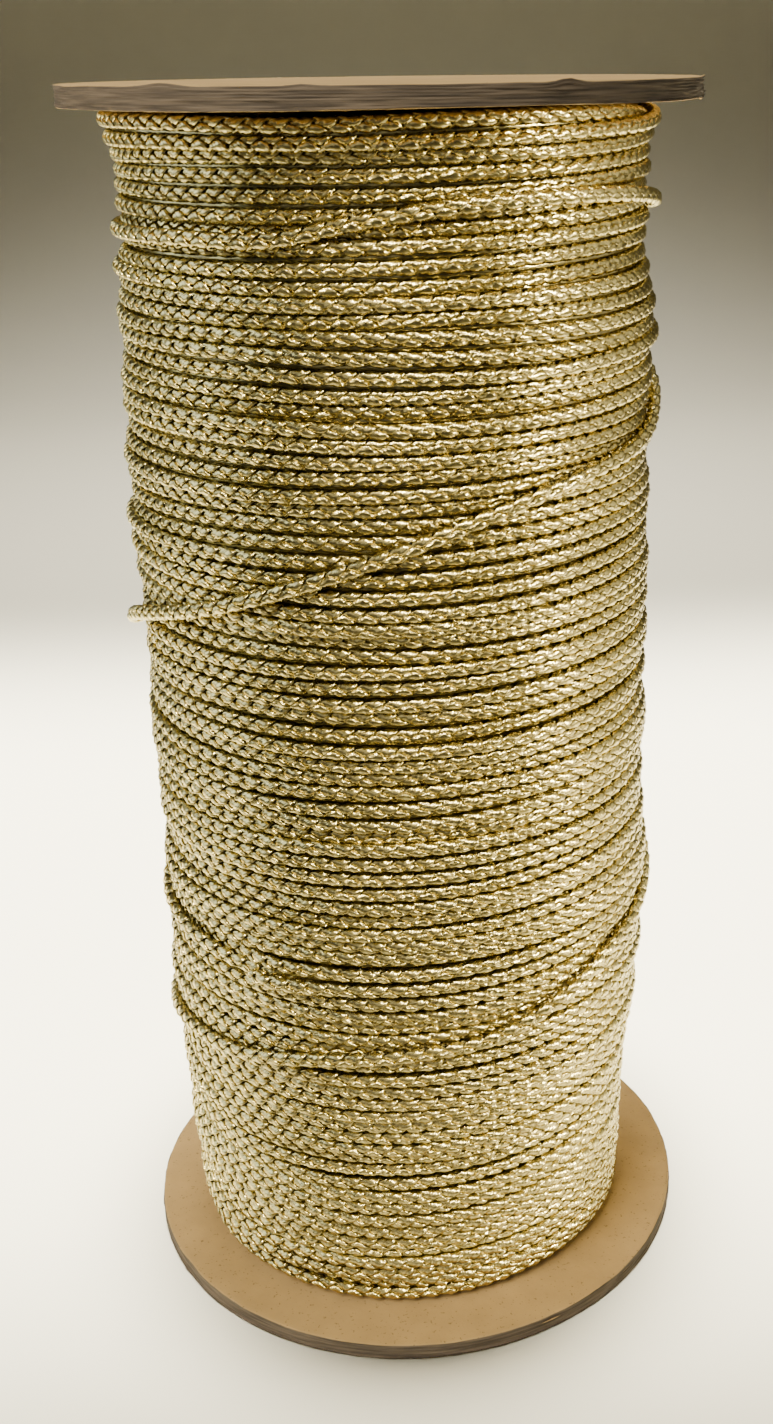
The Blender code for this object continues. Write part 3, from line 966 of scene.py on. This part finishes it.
# Floor, light and camera
def make_floor(colour):
    """The floor, bent up behind the spool into a backdrop by a quarter of a circle."""
    bend = np.linspace(0.0, np.pi / 2, SWEEP_ROWS)
    back = SWEEP_START + SWEEP_RADIUS
    run = np.concatenate([[-FLOOR_REACH], SWEEP_START + SWEEP_RADIUS * np.sin(bend), [back]])
    rise = np.concatenate([[0.0], SWEEP_RADIUS - SWEEP_RADIUS * np.cos(bend), [BACKDROP_TOP]])
    sweep = [(x, y, z) for y, z in zip(run, rise) for x in (-FLOOR_REACH, FLOOR_REACH)]
    faces = [(2 * row, 2 * row + 1, 2 * row + 3, 2 * row + 2) for row in range(len(run) - 1)]
    mesh = bpy.data.meshes.new("floor")
    mesh.from_pydata(sweep, [], faces)
    mesh.shade_smooth()
    floor = bpy.data.objects.new("floor", mesh)
    bpy.context.scene.collection.objects.link(floor)
    paint, _, shader = new_material("pale floor")
    shader.inputs["Base Color"].default_value = [*colour, 1.0]
    shader.inputs["Roughness"].default_value = FLOOR_ROUGHNESS
    mesh.materials.append(paint)
    return floor


def light_group(name, objects, left_out):
    """A collection for a light's receiver collection: the light falls on these objects alone, or, where
    they are left out, on all but these."""
    collection = bpy.data.collections.new(name)
    for number, member in enumerate(objects):
        collection.objects.link(member)
        if left_out:
            collection.collection_objects[number].light_linking.link_state = "EXCLUDE"
    return collection


def make_lights(stage, floor, boards):
    """The area lights of the table, each aimed at the spool or straight down."""
    powers = {"key": stage.key_power, "side": stage.side_power, "overhead": stage.overhead_power}
    receivers = {
        "all": None,
        "part": light_group("light without the floor", [floor], True),
        "cord": light_group("light on the cord alone", [floor, *boards], True),
        "floor": light_group("light on the floor alone", [floor], False),
        "boards": light_group("light on the boards alone", boards, False),
    }
    for row in LIGHTS:
        given = dict(zip(LIGHT_COLUMNS, row))
        lamp = bpy.data.lights.new(given["name"], "AREA")
        lamp.shape = "RECTANGLE"
        lamp.size, lamp.size_y = given["sides"]
        lamp.energy = given["share"] * powers[given["power"]]
        lamp.color = given["colour"]
        lamp.spread = math.radians(given["beam_deg"])
        light = bpy.data.objects.new(given["name"], lamp)
        light.visible_camera = False
        place = Vector(given["place"])
        below = Vector((place.x, place.y, 0.0))
        aim = below if given["power"] == "overhead" else Vector(LIGHT_TARGET)
        light.location = place
        light.rotation_mode = "QUATERNION"
        light.rotation_quaternion = (aim - place).to_track_quat("-Z", "Y")
        bpy.context.scene.collection.objects.link(light)
        receiver = receivers[given["falls_on"]]
        if receiver:
            light.light_linking.receiver_collection = receiver


def make_world():
    """The dim even light from all round."""
    world = bpy.data.worlds.new("studio")
    world.use_nodes = True
    background = world.node_tree.nodes["Background"]
    background.inputs["Color"].default_value = [*WORLD_COLOUR, 1.0]
    background.inputs["Strength"].default_value = WORLD_STRENGTH
    return world


def make_camera():
    """The camera at the photo's place, turned by its yaw, then its pitch, then its roll."""
    lens = bpy.data.cameras.new("camera")
    lens.lens = FOCAL_LENGTH_MM
    lens.shift_x, lens.shift_y = LENS_SHIFT
    lens.clip_start = CLIP_START
    camera = bpy.data.objects.new("camera", lens)
    yaw, pitch, roll = CAMERA_TURNS
    ahead = math.cos(pitch)
    forward = Vector((math.sin(yaw) * ahead, math.cos(yaw) * ahead, -math.sin(pitch)))
    right = Vector((math.cos(yaw), -math.sin(yaw), 0.0))
    above = right.cross(forward)
    rolled_right = right * math.cos(roll) + above * math.sin(roll)
    rolled_above = above * math.cos(roll) - right * math.sin(roll)
    turn = Matrix((rolled_right, rolled_above, -forward)).transposed()
    camera.matrix_world = Matrix.Translation(CAMERA_PLACE) @ turn.to_4x4()
    bpy.context.scene.collection.objects.link(camera)
    return camera


# Operators
class CORD_SPOOL_OT_level_turns(bpy.types.Operator):
    """Lays the level turns of the cord, with the turns that show in the gaps between them, painted darker
    as shade
    """

    bl_idname = "cord_spool.level_turns"
    bl_label = "Lay level turns"

    def execute(self, context):
        """Builds the bands of level turns and the turns under them."""
        settings = context.scene.cord_spool.cord
        width, stitch = settings.width / MM, settings.stitch / MM
        film = film_lines_group()
        material = film_material("gold film", film, settings, 1.0)
        # The turns beneath take the film at a share of its colour: painted shade in the gaps between the
        # level turns
        painted_shade_material = film_material("gold film in painted shade", film, settings, UNDER_TURN_PAINTED_SHADE)

        angle, radius, height = level_course(width)
        steps = np.arange(LEVEL_TURNS * COURSE_STEPS_PER_TURN + 1) * STEPS_PER_TURN / COURSE_STEPS_PER_TURN
        course = course_of(*(through(line, steps) for line in (angle, radius, height)))
        rng = np.random.default_rng(ROLL_SEED)
        total = course["length"][-1]
        samples = ROLL_SAMPLES_PER_KNOT * int(total / ROLL_KNOT_SPACING)
        strands = braid(course, braid_roll(rng, samples), stitch, LEVEL_STRETCH)
        cuts = np.linspace(0.0, total, LEVEL_BANDS + 1)
        cuts[-1] = np.inf
        for band in range(LEVEL_BANDS):
            stretch = cut_strands(strands, cuts[band], cuts[band + 1])
            braided_piece("cord_level_turns_" + str(band + 1), stretch, material)
        under_turns_piece("cord_inner_turns", angle, radius, height, width, painted_shade_material)
        return {"FINISHED"}


class CORD_SPOOL_OT_crossing_wraps(bpy.types.Operator):
    """Lays the crossing wraps, which were led over the level turns"""

    bl_idname = "cord_spool.crossing_wraps"
    bl_label = "Lay crossing wraps"

    def execute(self, context):
        """Builds one braided piece for each crossing wrap."""
        settings = context.scene.cord_spool.cord
        stitch = settings.stitch / MM
        material = bpy.data.materials.get("gold film")
        if material is None:
            raise RuntimeError("lay the level turns first")
        for number, (name, rows) in enumerate(CROSSING_WRAPS.items()):
            first, last = math.radians(rows[0][0]), math.radians(rows[-1][0])
            angle = np.linspace(first, last, int((last - first) / (2 * np.pi) * COURSE_STEPS_PER_TURN))
            course = course_of(angle, *wrap_course(rows, angle))
            roll = braid_roll(np.random.default_rng(WRAP_SEED + number), WRAP_ROLL_SAMPLES)
            strands = braid(course, roll, stitch, WRAP_STRETCH)
            braided_piece("cord_wrap_" + name, strands, material)
        return {"FINISHED"}


class CORD_SPOOL_OT_flanges(bpy.types.Operator):
    """Makes the two die-cut chipboard flanges"""

    bl_idname = "cord_spool.flanges"
    bl_label = "Make flanges"

    def execute(self, context):
        """Builds both boards with their own damage."""
        material = board_material("chipboard", context.scene.cord_spool.board)
        head = TOP_HIGH[2] / MM
        boards = (
            ("base", 0.0, FLANGE_THICKNESS, BASE_FLANGE_DAMAGE),
            ("top", head - FLANGE_THICKNESS, head, TOP_FLANGE_DAMAGE),
        )
        for name, low, high, damage in boards:
            node = name + "_flange"
            board_piece("flange_board_" + name, low, high, damage, BOARD_SEEDS[name], node, material)
        return {"FINISHED"}


class CORD_SPOOL_OT_stage(bpy.types.Operator):
    """Sets the floor, the studio lights and the camera"""

    bl_idname = "cord_spool.stage"
    bl_label = "Set the stage"

    def execute(self, context):
        """Builds the floor, the lights and the camera."""
        stage = context.scene.cord_spool.stage
        boards = [piece for piece in bpy.data.objects if piece.name.startswith("flange_board")]
        if not boards:
            raise RuntimeError("make the flanges first")
        floor = make_floor(stage.floor_colour)
        make_lights(stage, floor, boards)
        context.scene.world = make_world()
        context.scene.camera = make_camera()
        return {"FINISHED"}


class CORD_SPOOL_PT_panel(bpy.types.Panel):
    """Lists the spool's pieces and settings"""

    bl_idname = "CORD_SPOOL_PT_panel"
    bl_label = "Cord spool"
    bl_space_type = "VIEW_3D"
    bl_region_type = "UI"
    bl_category = "Cord spool"

    def draw(self, context):
        """Draws a button for each operator and a field for each setting."""
        for operator in OPERATORS:
            self.layout.operator(operator.bl_idname)
        settings = context.scene.cord_spool
        for group in (settings.cord, settings.board, settings.stage):
            for key in group.bl_rna.properties.keys():
                if key not in ("rna_type", "name"):
                    self.layout.prop(group, key)


OPERATORS = (
    CORD_SPOOL_OT_level_turns,
    CORD_SPOOL_OT_crossing_wraps,
    CORD_SPOOL_OT_flanges,
    CORD_SPOOL_OT_stage,
)
CLASSES = (
    CordSpoolCord,
    CordSpoolBoard,
    CordSpoolStage,
    CordSpoolSettings,
    *OPERATORS,
    CORD_SPOOL_PT_panel,
)


def register():
    """Registers the classes and the scene's settings."""
    for entry in CLASSES:
        bpy.utils.register_class(entry)
    bpy.types.Scene.cord_spool = PointerProperty(type=CordSpoolSettings)


def unregister():
    """Takes the settings and the classes away again."""
    del bpy.types.Scene.cord_spool
    for entry in reversed(CLASSES):
        bpy.utils.unregister_class(entry)


def main():
    """Builds every piece and the stage."""
    register()
    bpy.ops.cord_spool.level_turns()
    bpy.ops.cord_spool.crossing_wraps()
    bpy.ops.cord_spool.flanges()
    bpy.ops.cord_spool.stage()


if __name__ == "__main__":
    main()
